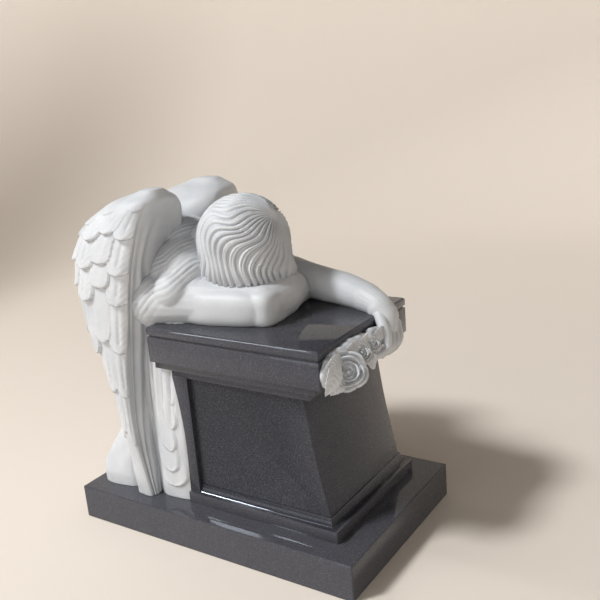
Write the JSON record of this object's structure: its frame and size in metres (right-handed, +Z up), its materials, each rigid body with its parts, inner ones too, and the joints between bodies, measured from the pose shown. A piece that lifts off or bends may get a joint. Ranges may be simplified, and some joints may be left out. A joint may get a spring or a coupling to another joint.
{
  "type": "angel headstone",
  "caption": "Mourning angel of white marble with folded wings, lying over a black granite pedestal on a base slab, roses in one hand.",
  "frame": {"origin": "centre of the base slab's underside", "axes": "+Z up, -Y towards the pedestal's front face, over which the angel's arm hangs; the angel kneels on the +Y side"},
  "size_m": [0.62, 1, 1.0595],
  "materials": {
    "granite": "polished black granite",
    "marble": "honed white marble"
  },
  "bodies": {
    "root": {"base_slab": "granite", "pedestal": "granite", "angel": "marble"}
  },
  "joints": []
}
